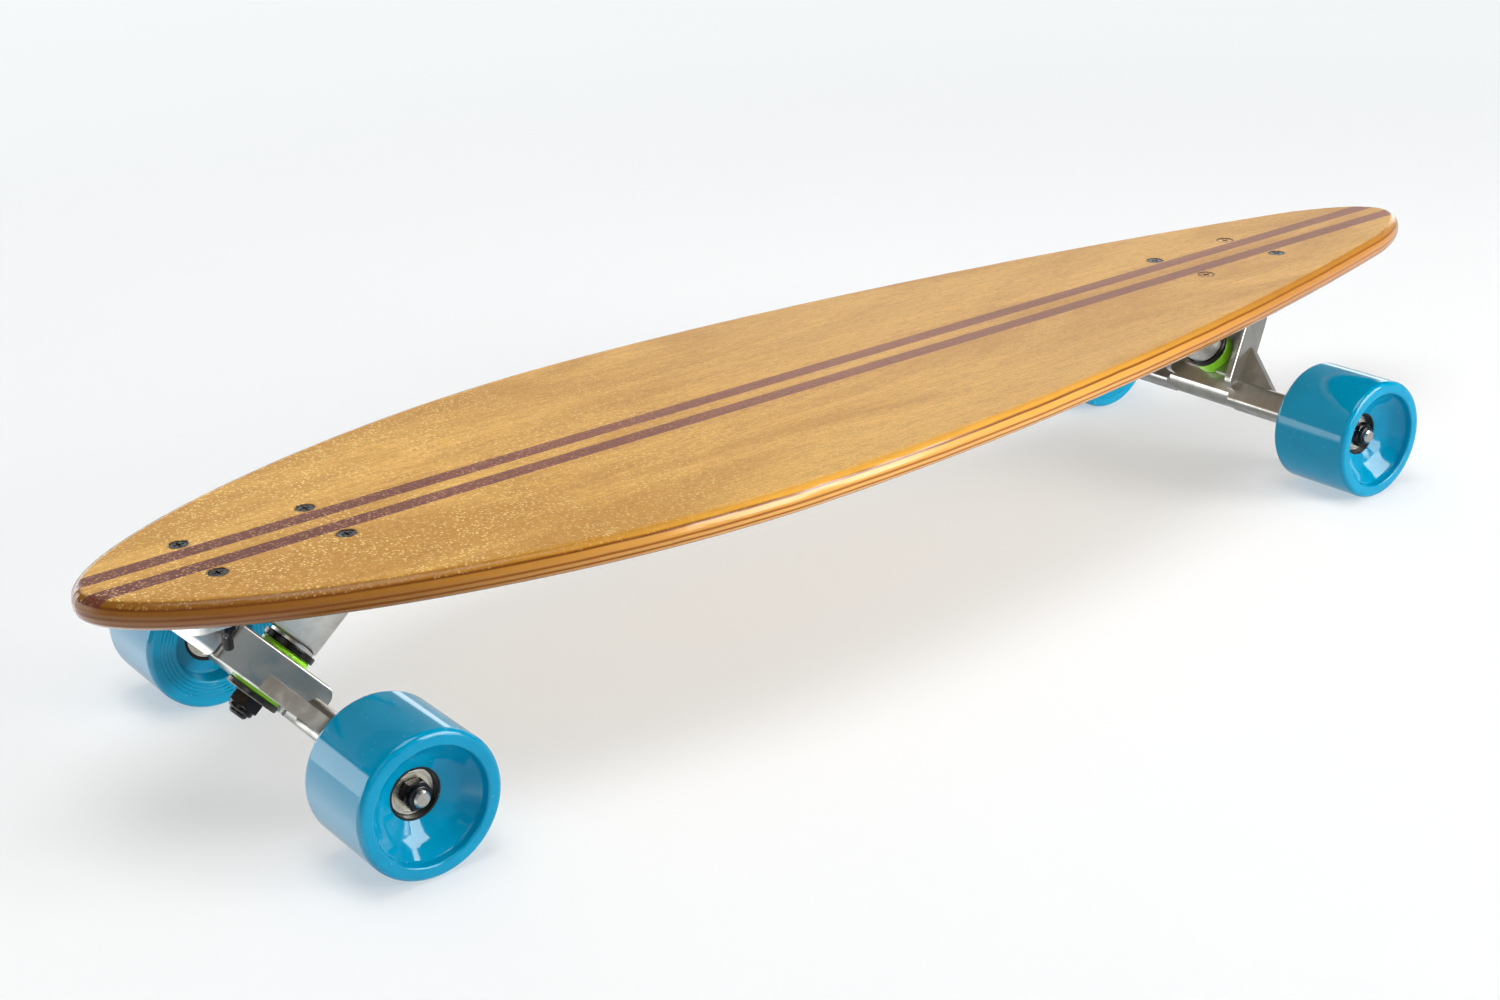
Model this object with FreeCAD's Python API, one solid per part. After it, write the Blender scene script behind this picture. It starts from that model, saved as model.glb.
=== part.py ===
import FreeCAD, Part
import math
import os

# Longboard skateboard: a flat pintail deck on two 180 mm trucks and four 70 mm wheels.
# Millimetres. +X points to the tail, +Y to the right side, +Z up, the ground is z = 0,
# and the origin lies under the middle of the deck.

# Deck
deck_length = 893.0
deck_width = 240.0
widest_from_nose = 320.0
tail_shoulder_from_tip = 56.0
tail_shoulder_width = 84.0
tail_taper_angle = 15.5
veneer_thickness = 2.8
cross_ply_thickness = 2.8
core_ply_thickness = 2.8
deck_edge_radius = 6.0
stripe_width = 10.0
stripe_gap = 9.4

# Fullness of the outline: each handle of its curves as a share of the stretch that it shapes
nose_tip_fullness = 0.415
nose_flank_fullness = 0.475
tail_flank_fullness = 0.39
taper_fullness = 0.194
shoulder_fullness = 0.225
tail_tip_fullness = 0.546

# Truck places and mounting hardware
nose_truck_from_nose = 90.0
tail_truck_from_tail = 163.0
bolt_spacing_long = 63.5
bolt_spacing_wide = 41.275
bolt_diameter = 4.8
bolt_head_diameter = 8.8
bolt_head_cone_height = 2.6
bolt_head_sink = 0.2
bolt_hole_clearance = 0.2
bolt_tail = 8.5
bolt_end_radius = 0.6
bolt_cross_length = 5.2
bolt_cross_width = 1.0
bolt_cross_depth = 1.4
bolt_nut_across_flats = 9.5
bolt_nut_height = 6.0
riser_thickness = 3.0
riser_margin = 1.0

# Truck geometry, seen from the side
truck_height = 66.0
axle_inset = 3.0
axle_below_kingpin = 18.9
axle_beyond_kingpin = 5.4
steering_angle = 50.0

# Base plate
flange_length = 104.0
flange_width = 58.0
flange_thickness = 6.4
flange_corner_radius = 9.0
boss_width = 26.0
boss_inner_wall = 33.5
boss_corner_radius = 7.0
boss_edge_radius = 2.5
boss_lip_radius = 1.5
boss_round = 11.4
seat_radius = 11.8
seat_raise = 1.5
seat_to_hanger = 11.0
pivot_housing_width = 26.8
pivot_housing_depth = 22.0
pivot_housing_corner = 4.0
pivot_housing_lip = 1.5
pivot_mouth = 38.0
pivot_bore_depth = 14.0
bore_overrun = 1.0

# Kingpin, washers and bushings
kingpin_diameter = 9.5
kingpin_grip = 17.0
kingpin_head_across_flats = 14.3
kingpin_head_height = 6.4
kingpin_tail = 2.0
kingpin_chamfer = 1.0
kingpin_nut_height = 8.5
kingpin_clearance = 0.1
head_room = 1.0
washer_diameter = 27.6
washer_thickness = 2.0
washer_rim_height = 1.5
washer_rim_width = 1.4
washer_edge_radius = 0.8
washer_lip_radius = 0.5
roadside_washer_thickness = 3.0
bushing_diameter = 26.0
bushing_chamfer = 0.8
bushing_shoulder_radius = 1.5
bushing_clearance = 0.3
roadside_bushing_show = 2.0
washer_sweep = 4.0
scallop_depth = 2.8

# Hanger
hanger_width = 180.0
hanger_thickness = 15.0
seat_depth = 5.0
kingpin_bore_diameter = 16.0
arm_root_width = 54.0
arm_tip_width = 26.4
arm_tip_gap = 0.6
arm_corner_radius = 4.0
arm_edge_radius = 1.2
arm_foot_radius = 6.0
rib_width = 4.5
rib_height = 5.0
pocket_top = 27.0
pocket_corner_radius = 5.0
wing_height = 12.0
wing_foot = 50.0
wing_reach = 60.0
wing_curve_radius = 14.0
wing_thickness = 8.0
wing_sink = 0.5
beam_size = 16.0
beam_corner_radius = 3.5
beam_round_diameter = 16.6
beam_round_reach = 24.0
beam_chevron = 5.0
beam_square_reach = 60.0
beam_taper_reach = 72.0
beam_end_diameter = 15.0
pivot_pin_diameter = 12.0
pivot_pin_length = 11.0
pivot_pin_root = 10.0
pivot_tip_share = 0.8
pivot_cup_wall = 2.0
pivot_cup_lip = 0.6
pivot_clearance = 0.08

# Axle stack
axle_diameter = 8.0
axle_tail = 2.0
axle_chamfer = 0.8
axle_clearance = 0.05
axle_nut_across_flats = 12.7
axle_nut_height = 7.0
nut_collar_share = 0.3
nut_collar_width_share = 0.88
speed_ring_diameter = 12.0
speed_ring_thickness = 1.0
spacer_length = 10.0
spacer_diameter = 11.6

# Wheel
wheel_diameter = 70.0
wheel_width = 51.0
wheel_edge_radius = 3.0
wheel_lip_width = 7.0
wheel_inner_recess = 8.0
inner_recess_diameter = 41.0
inner_recess_draft = 1.5
inner_edge_radius = 1.0
face_ring_diameter = 45.0
face_ring_pitch = 1.9
face_ring_depth = 0.35
face_ring_width = 0.7
face_ring_count = 4
dish_floor_diameter = 25.0
dish_wall_depth = 4.0
dish_wall_draft = 0.8
dish_edge_radius = 1.2
dish_foot_radius = 3.0
dish_bowl_diameter = 41.0
dish_bowl_depth = 10.7
dish_bowl_radius = 20.0
core_diameter = 34.0
core_collar = 3.0
core_slope = 3.0
core_groove_depth = 2.0
core_step = 0.6
core_mouth = 0.4

# Ball bearings
bearing_outer_diameter = 22.0
bearing_bore = 8.0
bearing_width = 7.0
bearing_outer_ring_wall = 1.5
bearing_inner_ring_wall = 2.0
bearing_edge_radius = 0.4
ball_diameter = 3.96
ball_count = 7
ball_clearance = 0.05
cage_wall = 1.0
cage_width = 5.2
shield_thickness = 0.4
shield_inset = 0.3
shield_clearance = 0.3

# Places that follow from the sizes above
wheel_radius = wheel_diameter / 2
plate_top = wheel_radius + truck_height
flange_underside = plate_top - flange_thickness
deck_bottom = plate_top + riser_thickness
deck_thickness = 2 * veneer_thickness + 2 * cross_ply_thickness + core_ply_thickness
deck_top = deck_bottom + deck_thickness
nose_truck_x = -deck_length / 2 + nose_truck_from_nose
tail_truck_x = deck_length / 2 - tail_truck_from_tail

tilt = math.radians(steering_angle)
steer_axis = FreeCAD.Vector(math.cos(tilt), 0, math.sin(tilt))
pin_axis = FreeCAD.Vector(math.sin(tilt), 0, -math.cos(tilt))
axle_centre = FreeCAD.Vector(-axle_inset, 0, wheel_radius)
kingpin_centre = axle_centre + steer_axis * axle_below_kingpin - pin_axis * axle_beyond_kingpin

washer_radius = washer_diameter / 2
bushing_radius = bushing_diameter / 2
kingpin_radius = kingpin_diameter / 2
axle_radius = axle_diameter / 2
bearing_radius = bearing_outer_diameter / 2
ball_radius = ball_diameter / 2

# Stations along the kingpin, from the board side to the road side, with 0 at the steering axis
plate_front = -seat_depth
plate_back = plate_front + hanger_thickness
board_floor = plate_front + seat_depth
road_floor = plate_back - seat_depth
seat_station = plate_front - seat_to_hanger
board_cup = seat_station + washer_thickness
head_station = seat_station - kingpin_grip
road_washer = plate_back + roadside_bushing_show
road_nut = road_washer + roadside_washer_thickness
arm_tip_height = pivot_mouth - arm_tip_gap
kingpin_end = road_nut + kingpin_nut_height + kingpin_tail

# Stations along the axle, from the middle of the board outwards
hanger_end = hanger_width / 2
inner_bearing = hanger_end + speed_ring_thickness
spacer_start = inner_bearing + bearing_width
outer_bearing = spacer_start + spacer_length
outer_ring = outer_bearing + bearing_width
nut_start = outer_ring + speed_ring_thickness
axle_end = nut_start + axle_nut_height + axle_tail
wheel_inner = hanger_end - wheel_inner_recess
wheel_outer = wheel_inner + wheel_width
core_start = inner_bearing - core_step
core_end = outer_ring + core_collar
bearing_starts = (inner_bearing, outer_bearing)
ball_circle = (bearing_bore / 2 + bearing_inner_ring_wall + bearing_radius - bearing_outer_ring_wall) / 2

X_AXIS = FreeCAD.Vector(1, 0, 0)
Y_AXIS = FreeCAD.Vector(0, 1, 0)
Z_AXIS = FreeCAD.Vector(0, 0, 1)
ORIGIN = FreeCAD.Vector(0, 0, 0)


def flat(x, y, z=0.0):
    """A point of a profile."""
    return FreeCAD.Vector(x, y, z)


def rounded_wire(corners):
    """Closed wire through (point, radius) corners, each corner rounded by a tangent arc."""
    edges = []
    starts = []
    count = len(corners)
    for index in range(count):
        point, radius = corners[index]
        back = corners[index - 1][0] - point
        ahead = corners[(index + 1) % count][0] - point
        room = 0.49 * min(back.Length, ahead.Length)
        back.normalize()
        ahead.normalize()
        half = back.getAngle(ahead) / 2
        trim = min(radius / math.tan(half), room)
        if trim < 1e-6:
            starts.append((point, None, point))
            continue
        bisector = back + ahead
        bisector.normalize()
        reach = trim / math.cos(half) - trim * math.tan(half)
        starts.append((point + back * trim, point + bisector * reach, point + ahead * trim))
    for index in range(count):
        first, middle, last = starts[index]
        following = starts[(index + 1) % count][0]
        if middle is not None:
            edges.append(Part.Arc(first, middle, last).toShape())
        if (following - last).Length > 1e-6:
            edges.append(Part.LineSegment(last, following).toShape())
    return Part.Wire(edges)


def sharp_wire(points):
    """Closed polygon."""
    return rounded_wire([(point, 0.0) for point in points])


def revolved(corners, axis=Y_AXIS):
    """Solid turned about the Y or Z axis from a rounded profile."""
    face = Part.Face(rounded_wire(corners))
    return face.revolve(ORIGIN, axis, 360)


def turned(points):
    """Body of revolution about Y from (radius, y) or (radius, y, rounding) points."""
    corners = [(flat(p[0], p[1]), p[2] if len(p) > 2 else 0.0) for p in points]
    return revolved(corners)


def tube(inner, outer, start, end):
    """Plain ring about Y."""
    return turned([(inner, start), (outer, start), (outer, end), (inner, end)])


def extruded(wire, direction):
    return Part.Face(wire).extrude(direction)


def rod(radius, start, end):
    """Cylinder between two points."""
    return Part.makeCylinder(radius, (end - start).Length, start, end - start)


def hexagon(across_flats, height):
    """Hexagonal prism on the Z axis with its corners turned off at both ends."""
    corner = across_flats / math.sqrt(3)
    points = [flat(corner * math.cos(math.radians(60 * k)), corner * math.sin(math.radians(60 * k)))
              for k in range(6)]
    prism = extruded(sharp_wire(points), Z_AXIS * height)
    drop = (corner - across_flats / 2) * math.tan(math.radians(30))
    barrel = revolved([(flat(0, 0, 0), 0.0), (flat(across_flats / 2, 0, 0), 0.0),
                       (flat(corner, 0, drop), 0.0), (flat(corner, 0, height - drop), 0.0),
                       (flat(across_flats / 2, 0, height), 0.0), (flat(0, 0, height), 0.0)], Z_AXIS)
    return prism.common(barrel)


def lock_nut(across_flats, height, bore):
    """Nut with a round collar on its far end, standing on z = 0."""
    collar_height = height * nut_collar_share
    collar_radius = nut_collar_width_share * across_flats / 2
    body = hexagon(across_flats, height - collar_height)
    collar = revolved([(flat(0, 0, height - collar_height), 0.0),
                       (flat(collar_radius, 0, height - collar_height), 0.0),
                       (flat(collar_radius, 0, height), collar_height / 2),
                       (flat(0, 0, height), 0.0)], Z_AXIS)
    hole = Part.makeCylinder(bore / 2, height, ORIGIN, Z_AXIS)
    return body.fuse(collar).cut(hole).removeSplitter()


def aimed(shape, base, direction):
    """Shape made on the Z axis, turned to a direction and moved to a point."""
    copy = shape.copy()
    copy.Placement = FreeCAD.Placement(base, FreeCAD.Rotation(Z_AXIS, direction))
    return copy


def steer(height, station):
    """Point of the truck's side plane: height along the steering axis, station along the kingpin."""
    return kingpin_centre + steer_axis * height + pin_axis * station


def on_kingpin(shape, station):
    """Shape made on the Z axis, set on the kingpin at a station, with Z towards the road side."""
    return aimed(shape, steer(0, station), pin_axis)


def in_hanger(shape):
    """Shape drawn with X across the board, Y along the steering axis and Z along the kingpin."""
    matrix = FreeCAD.Matrix()
    matrix.A11, matrix.A21, matrix.A31 = Y_AXIS
    matrix.A12, matrix.A22, matrix.A32 = steer_axis
    matrix.A13, matrix.A23, matrix.A33 = pin_axis
    matrix.A14, matrix.A24, matrix.A34 = kingpin_centre
    copy = shape.copy()
    copy.Placement = FreeCAD.Placement(matrix)
    return copy


# Deck


def deck_outline():
    """Pintail outline: a round nose, long flanks and a blunt tail."""
    nose = -deck_length / 2
    tail = deck_length / 2
    half = deck_width / 2
    widest = nose + widest_from_nose
    shoulder = tail - tail_shoulder_from_tip
    shoulder_half = tail_shoulder_width / 2
    flank = shoulder - widest
    taper = math.radians(tail_taper_angle)
    slope = flat(math.cos(taper), -math.sin(taper))
    corner = flat(shoulder, shoulder_half)
    curves = [
        [flat(nose, 0), flat(nose, half * nose_tip_fullness),
         flat(widest - widest_from_nose * nose_flank_fullness, half), flat(widest, half)],
        [flat(widest, half), flat(widest + flank * tail_flank_fullness, half),
         corner - slope * flank * taper_fullness, corner],
        [corner, corner + slope * tail_shoulder_from_tip * shoulder_fullness,
         flat(tail, shoulder_half * tail_tip_fullness), flat(tail, 0)],
    ]
    edges = []
    for poles in curves:
        curve = Part.BezierCurve()
        curve.setPoles(poles)
        edges.append(curve.toShape())
    for poles in reversed(curves):
        curve = Part.BezierCurve()
        curve.setPoles([flat(p.x, -p.y) for p in reversed(poles)])
        edges.append(curve.toShape())
    return Part.Wire(edges)


def bolt_places(truck_x):
    """Centres of one truck's four bolts."""
    half_long = bolt_spacing_long / 2
    half_wide = bolt_spacing_wide / 2
    return [flat(truck_x + sx * half_long, sy * half_wide) for sx in (-1, 1) for sy in (-1, 1)]


def bolt_blank():
    """Countersunk bolt turned about Z, with its head just under the deck's top."""
    top = deck_top - bolt_head_sink
    end = flange_underside - bolt_nut_height - bolt_tail
    shank = bolt_diameter / 2
    return revolved([(flat(0, 0, top), 0.0), (flat(bolt_head_diameter / 2, 0, top), 0.0),
                     (flat(shank, 0, top - bolt_head_cone_height), 0.0),
                     (flat(shank, 0, end), bolt_end_radius), (flat(0, 0, end), 0.0)], Z_AXIS)


def bolt_hole():
    """Hole for one bolt, open at the deck's top and a little wider than the bolt."""
    seat = deck_top - bolt_head_sink - bolt_hole_clearance
    head = bolt_head_diameter / 2 + bolt_hole_clearance
    shank = bolt_diameter / 2 + bolt_hole_clearance
    return revolved([(flat(0, 0, deck_top), 0.0), (flat(head, 0, deck_top), 0.0), (flat(head, 0, seat), 0.0),
                     (flat(shank, 0, seat - bolt_head_cone_height), 0.0),
                     (flat(shank, 0, flange_underside), 0.0), (flat(0, 0, flange_underside), 0.0)], Z_AXIS)


def deck_bolt():
    """Bolt with a cross recess in its head."""
    slot = Part.makeBox(bolt_cross_length, bolt_cross_width, bolt_cross_depth)
    slot.translate(flat(-bolt_cross_length / 2, -bolt_cross_width / 2,
                        deck_top - bolt_head_sink - bolt_cross_depth))
    turned_slot = slot.copy()
    turned_slot.rotate(ORIGIN, Z_AXIS, 90)
    return bolt_blank().cut(slot.fuse(turned_slot))


def deck_plies():
    """The pressed deck cut into its plies, with the two stripes let into the top veneer."""
    blank = extruded(deck_outline(), Z_AXIS * deck_thickness)
    blank.translate(Z_AXIS * deck_bottom)
    edge_radius = min(deck_edge_radius, 0.45 * deck_thickness)
    rails = [edge for edge in blank.Edges if edge.BoundBox.ZLength < 1e-6]
    blank = blank.makeFillet(edge_radius, rails)
    hole = bolt_hole()
    for place in bolt_places(nose_truck_x) + bolt_places(tail_truck_x):
        cutter = hole.copy()
        cutter.translate(place)
        blank = blank.cut(cutter)
    layers = [("deck_bottom_veneer", veneer_thickness), ("deck_lower_ply", cross_ply_thickness),
              ("deck_core_ply", core_ply_thickness), ("deck_upper_ply", cross_ply_thickness),
              ("deck_top_veneer", veneer_thickness)]
    plies = {}
    level = deck_bottom
    for name, thickness in layers:
        slab = Part.makeBox(2 * deck_length, 2 * deck_width, thickness,
                            flat(-deck_length, -deck_width, level))
        plies[name] = blank.common(slab)
        level += thickness
    bands = []
    for side in (-1, 1):
        centre = side * (stripe_gap + stripe_width) / 2
        corner = flat(-deck_length, centre - stripe_width / 2, deck_bottom)
        bands.append(Part.makeBox(2 * deck_length, stripe_width, deck_thickness, corner))
    veneer = plies["deck_top_veneer"]
    plies["deck_stripe_inlays"] = Part.makeCompound([veneer.common(band) for band in bands])
    plies["deck_top_veneer"] = veneer.cut(bands[0].fuse(bands[1]))
    return plies


# Truck, in its own frame: X points outwards from the middle of the bolt pattern


def mounting_plate(margin, bottom, thickness):
    """Plate with round corners and the four bolt holes, standing on a level."""
    half_long = flange_length / 2 + margin
    half_wide = flange_width / 2 + margin
    corners = [(flat(sx * half_long, sy * half_wide, bottom), flange_corner_radius + margin)
               for sx, sy in ((-1, -1), (1, -1), (1, 1), (-1, 1))]
    return extruded(rounded_wire(corners), Z_AXIS * thickness)


def drill_bolts(plate):
    """Plate with the four bolt holes taken out over its whole height."""
    for place in bolt_places(0.0):
        hole = Part.makeCylinder(bolt_diameter / 2 + bolt_hole_clearance, 2 * deck_top, place, Z_AXIS)
        plate = plate.cut(hole)
    return plate


def side_profile(corners, width):
    """Solid with a rounded side profile, of a width across the board."""
    start = Y_AXIS * (-width / 2)
    return extruded(rounded_wire([(point + start, radius) for point, radius in corners]), Y_AXIS * width)


def kingpin_boss():
    """Boss behind the kingpin: round below, flat on its sides, with a slanted seat."""
    middle = plate_top - flange_thickness / 2
    face_station = seat_station - seat_raise
    low = steer(-seat_radius, face_station)
    rise = (middle - steer(0, face_station).z) / steer_axis.z
    high = steer(rise, face_station)
    run = (low.x + boss_inner_wall) / pin_axis.x
    corner = low - pin_axis * run
    wedge = side_profile([(low, boss_lip_radius), (high, 0.0), (flat(-boss_inner_wall, 0, middle), 0.0),
                          (corner, boss_corner_radius)], boss_width)
    rims = [edge for edge in wedge.Edges if edge.BoundBox.YLength < 1e-6]
    wedge = wedge.makeFillet(boss_edge_radius, rims)
    half = boss_width / 2
    reach = 2 * plate_top
    section = [(flat(-half, reach, -reach), 0.0), (flat(half, reach, -reach), 0.0),
               (flat(half, -seat_radius, -reach), boss_round),
               (flat(-half, -seat_radius, -reach), boss_round)]
    wedge = wedge.common(in_hanger(extruded(rounded_wire(section), Z_AXIS * 2 * reach)))
    return wedge.fuse(rod(seat_radius, steer(0, face_station - seat_raise), steer(0, seat_station)))


def pivot_housing():
    """Block round the pivot cup, square to the steering axis and cut off at the flange's end."""
    half = pivot_housing_width / 2
    deep = pivot_housing_depth / 2
    section = [(flat(sx * half, pivot_mouth, sz * deep), pivot_housing_corner)
               for sx, sz in ((-1, -1), (1, -1), (1, 1), (-1, 1))]
    block = extruded(rounded_wire(section), Y_AXIS * 2 * truck_height)
    lip = [edge for edge in block.Edges if edge.BoundBox.YMax < pivot_mouth + 1e-3]
    block = in_hanger(block.makeFillet(pivot_housing_lip, lip))
    envelope = Part.makeBox(flange_length, flange_width, plate_top,
                            flat(-flange_length / 2, -flange_width / 2, 0))
    return block.common(envelope)


def baseplate():
    """Cast base plate: flange, kingpin boss with a slanted seat, and the housing of the pivot cup."""
    flange = mounting_plate(0.0, flange_underside, flange_thickness)
    body = flange.fuse([kingpin_boss(), pivot_housing()]).removeSplitter()
    return drill_bolts(cut_baseplate(body))


def cut_baseplate(body):
    """Bores of the base plate: kingpin hole, pocket for its head, and pivot bore."""
    pin_hole = rod(kingpin_radius + kingpin_clearance / 2,
                   steer(0, head_station - bore_overrun), steer(0, 0))
    half = kingpin_head_across_flats / math.sqrt(3) + head_room
    back = head_station - kingpin_head_height - head_room
    low = steer(-half, head_station)
    high = steer(half, head_station)
    far = steer(-half, back)
    top = 2 * plate_top
    pocket = side_profile([(low, 0.0), (high, 0.0), (flat(high.x, 0, top), 0.0),
                           (flat(far.x, 0, top), 0.0), (far, 0.0)], 2 * half)
    bore = rod(pivot_pin_diameter / 2 + pivot_clearance + pivot_cup_wall,
               steer(pivot_mouth - bore_overrun, 0), steer(pivot_mouth + pivot_bore_depth, 0))
    return body.cut(pin_hole.fuse([pocket, bore]))


def pivot_cup():
    """Urethane cup that lines the pivot bore."""
    inner = pivot_pin_diameter / 2 + pivot_clearance
    outer = inner + pivot_cup_wall
    depth = pivot_bore_depth
    floor = depth - pivot_cup_wall
    cup = revolved([(flat(0, 0, depth), 0.0), (flat(outer, 0, depth), 0.0),
                    (flat(outer, 0, 0), pivot_cup_lip), (flat(inner, 0, 0), pivot_cup_lip),
                    (flat(inner, 0, floor), inner * pivot_tip_share),
                    (flat(0, 0, floor), 0.0)], Z_AXIS)
    return aimed(cup, steer(pivot_mouth, 0), steer_axis)


def kingpin():
    """Hex-headed bolt that clamps the bushings to the base plate."""
    length = kingpin_end - head_station
    shank = Part.makeCylinder(kingpin_radius, length, ORIGIN, Z_AXIS)
    tip = [edge for edge in shank.Edges if edge.BoundBox.ZMin > length - 1e-3]
    shank = shank.makeChamfer(kingpin_chamfer, tip)
    head = hexagon(kingpin_head_across_flats, kingpin_head_height)
    head.translate(Z_AXIS * -kingpin_head_height)
    return on_kingpin(head.fuse(shank).removeSplitter(), head_station)


def kingpin_nut():
    return on_kingpin(lock_nut(kingpin_head_across_flats, kingpin_nut_height, kingpin_diameter), road_nut)


def boardside_washer():
    """Cupped washer whose rim holds the end of the bushing."""
    rim = washer_radius - washer_rim_width
    bore = kingpin_radius + kingpin_clearance
    deep = washer_thickness + washer_rim_height
    cup = revolved([(flat(bore, 0, 0), 0.0), (flat(washer_radius, 0, 0), washer_edge_radius),
                    (flat(washer_radius, 0, deep), washer_lip_radius),
                    (flat(rim, 0, deep), washer_lip_radius),
                    (flat(rim, 0, washer_thickness), 0.0), (flat(bore, 0, washer_thickness), 0.0)], Z_AXIS)
    return on_kingpin(cup, seat_station)


def roadside_washer():
    bore = kingpin_radius + kingpin_clearance
    disc = revolved([(flat(bore, 0, 0), 0.0), (flat(washer_radius, 0, 0), washer_lip_radius),
                     (flat(washer_radius, 0, roadside_washer_thickness), washer_edge_radius),
                     (flat(bore, 0, roadside_washer_thickness), 0.0)], Z_AXIS)
    return on_kingpin(disc, road_washer)


def boardside_bushing():
    """Barrel that stands in the cupped washer and in the hanger's seat."""
    neck = washer_radius - washer_rim_width
    bore = kingpin_radius + bushing_clearance
    rim = washer_rim_height + bushing_clearance
    length = board_floor - board_cup
    barrel = revolved([(flat(bore, 0, 0), 0.0), (flat(neck, 0, 0), 0.0), (flat(neck, 0, rim), 0.0),
                       (flat(bushing_radius, 0, rim + bushing_chamfer), bushing_shoulder_radius),
                       (flat(bushing_radius, 0, length), bushing_chamfer),
                       (flat(bore, 0, length), 0.0)], Z_AXIS)
    return on_kingpin(barrel, board_cup)


def roadside_bushing():
    bore = kingpin_radius + bushing_clearance
    length = road_washer - road_floor
    barrel = revolved([(flat(bore, 0, 0), 0.0), (flat(bushing_radius, 0, 0), bushing_chamfer),
                       (flat(bushing_radius, 0, length), bushing_chamfer),
                       (flat(bore, 0, length), 0.0)], Z_AXIS)
    return on_kingpin(barrel, road_floor)


def arm_half(height):
    """Half the arm's width at a height along the steering axis."""
    share = (height + axle_below_kingpin) / (arm_tip_height + axle_below_kingpin)
    return (arm_root_width + (arm_tip_width - arm_root_width) * share) / 2


def arm_outline(inset, low, high, level, radius):
    """Tapered outline of the arm between two heights, set in from its sides and round at the top."""
    foot = arm_half(low) - inset
    tip = arm_half(high) - inset
    return rounded_wire([(flat(-foot, low, level), 0.0), (flat(foot, low, level), 0.0),
                         (flat(tip, high, level), radius), (flat(-tip, high, level), radius)])


def hanger_arm():
    """Tapered slab of the A-frame, hollowed on its board face between two ribs that run into the beam."""
    face = plate_front - rib_height
    foot = -axle_below_kingpin
    slab = extruded(arm_outline(0.0, foot, arm_tip_height, face, arm_corner_radius),
                    Z_AXIS * (plate_back - face))
    rims = [edge for edge in slab.Edges if edge.BoundBox.ZLength < 1e-6]
    slab = slab.makeFillet(arm_edge_radius, rims)
    wide = arm_root_width / 2
    side = [(flat(-wide, foot, plate_back), 0.0), (flat(-wide, foot, face), arm_foot_radius),
            (flat(-wide, arm_tip_height, face), 0.0), (flat(-wide, arm_tip_height, plate_back), 0.0)]
    slab = slab.common(extruded(rounded_wire(side), X_AXIS * arm_root_width))
    below = foot - beam_size
    pocket = extruded(arm_outline(rib_width, below, pocket_top, face, pocket_corner_radius),
                      Z_AXIS * rib_height)
    beam_top = foot + beam_size / 2
    beam_face = axle_beyond_kingpin - beam_size / 2
    step = extruded(arm_outline(rib_width, below, beam_top, face, 0.0), Z_AXIS * (beam_face - face))
    return slab.cut(pocket.fuse(step))


def hanger_wings():
    """Webs that brace the arm against the axle beam, with a hollow curve at their feet."""
    foot = -axle_below_kingpin
    level = axle_beyond_kingpin - wing_thickness / 2
    beam_top = foot + beam_size / 2
    right = [(flat(wing_reach, foot, level), 0.0), (flat(wing_reach, beam_top - wing_sink, level), 0.0),
             (flat(wing_foot, beam_top, level), wing_curve_radius),
             (flat(arm_half(wing_height), wing_height, level), 0.0)]
    left = [(flat(-point.x, point.y, point.z), radius) for point, radius in reversed(right)]
    return extruded(rounded_wire(right + left), Z_AXIS * wing_thickness)


def hanger_beam():
    """Axle beam: round in the middle, square under the wings, and turned down to round ends."""
    half = beam_size / 2
    section = [(flat(-hanger_end, sy * half - axle_below_kingpin, sz * half + axle_beyond_kingpin),
                beam_corner_radius) for sy, sz in ((-1, -1), (1, -1), (1, 1), (-1, 1))]
    bar = extruded(rounded_wire(section), X_AXIS * hanger_width)
    end = beam_end_diameter / 2
    middle = beam_round_diameter / 2
    right = [(middle, beam_round_reach), (beam_size, beam_round_reach + beam_chevron),
             (beam_size, beam_square_reach), (end, beam_taper_reach), (end, hanger_end), (0, hanger_end)]
    left = [(radius, -place) for radius, place in reversed(right)]
    turning = turned(left + right)
    turning.Placement = FreeCAD.Placement(flat(0, -axle_below_kingpin, axle_beyond_kingpin),
                                          FreeCAD.Rotation(Y_AXIS, X_AXIS))
    return bar.common(turning)


def hanger_pivot():
    """Pin at the tip of the arm, turned about the steering axis."""
    pin = pivot_pin_diameter / 2
    root = arm_tip_height - pivot_pin_root
    tip = pivot_mouth + pivot_pin_length
    return turned([(0, root), (pin, root), (pin, tip, pin * pivot_tip_share), (0, tip)])


def hanger():
    """Cast hanger: A-frame, wings, axle beam and pivot, with the bushing seats and the bores."""
    body = hanger_arm().fuse([hanger_wings(), hanger_beam(), hanger_pivot()]).removeSplitter()
    seat = bushing_radius + bushing_clearance
    board_seat = Part.makeCylinder(seat, rib_height + seat_depth, flat(0, 0, board_floor), Z_AXIS * -1)
    road_seat = Part.makeCylinder(seat, seat_depth, flat(0, 0, road_floor), Z_AXIS)
    scallop = Part.makeCylinder(washer_radius + washer_sweep, beam_size,
                                flat(0, 0, plate_back - scallop_depth), Z_AXIS)
    bore = Part.makeCylinder(kingpin_bore_diameter / 2, 2 * hanger_thickness,
                             flat(0, 0, -hanger_thickness), Z_AXIS)
    axle_hole = Part.makeCylinder(axle_radius + axle_clearance, hanger_width,
                                  flat(-hanger_end, -axle_below_kingpin, axle_beyond_kingpin), X_AXIS)
    return in_hanger(body.cut(board_seat.fuse([road_seat, scallop, bore, axle_hole])))


# Axle and wheels, made about the Y axis and then moved to the axle's place


def axle():
    """Steel axle with chamfered ends."""
    right = [(axle_radius, axle_end - axle_chamfer), (axle_radius - axle_chamfer, axle_end), (0, axle_end)]
    left = [(radius, -place) for radius, place in reversed(right)]
    return turned(left + right)


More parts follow.
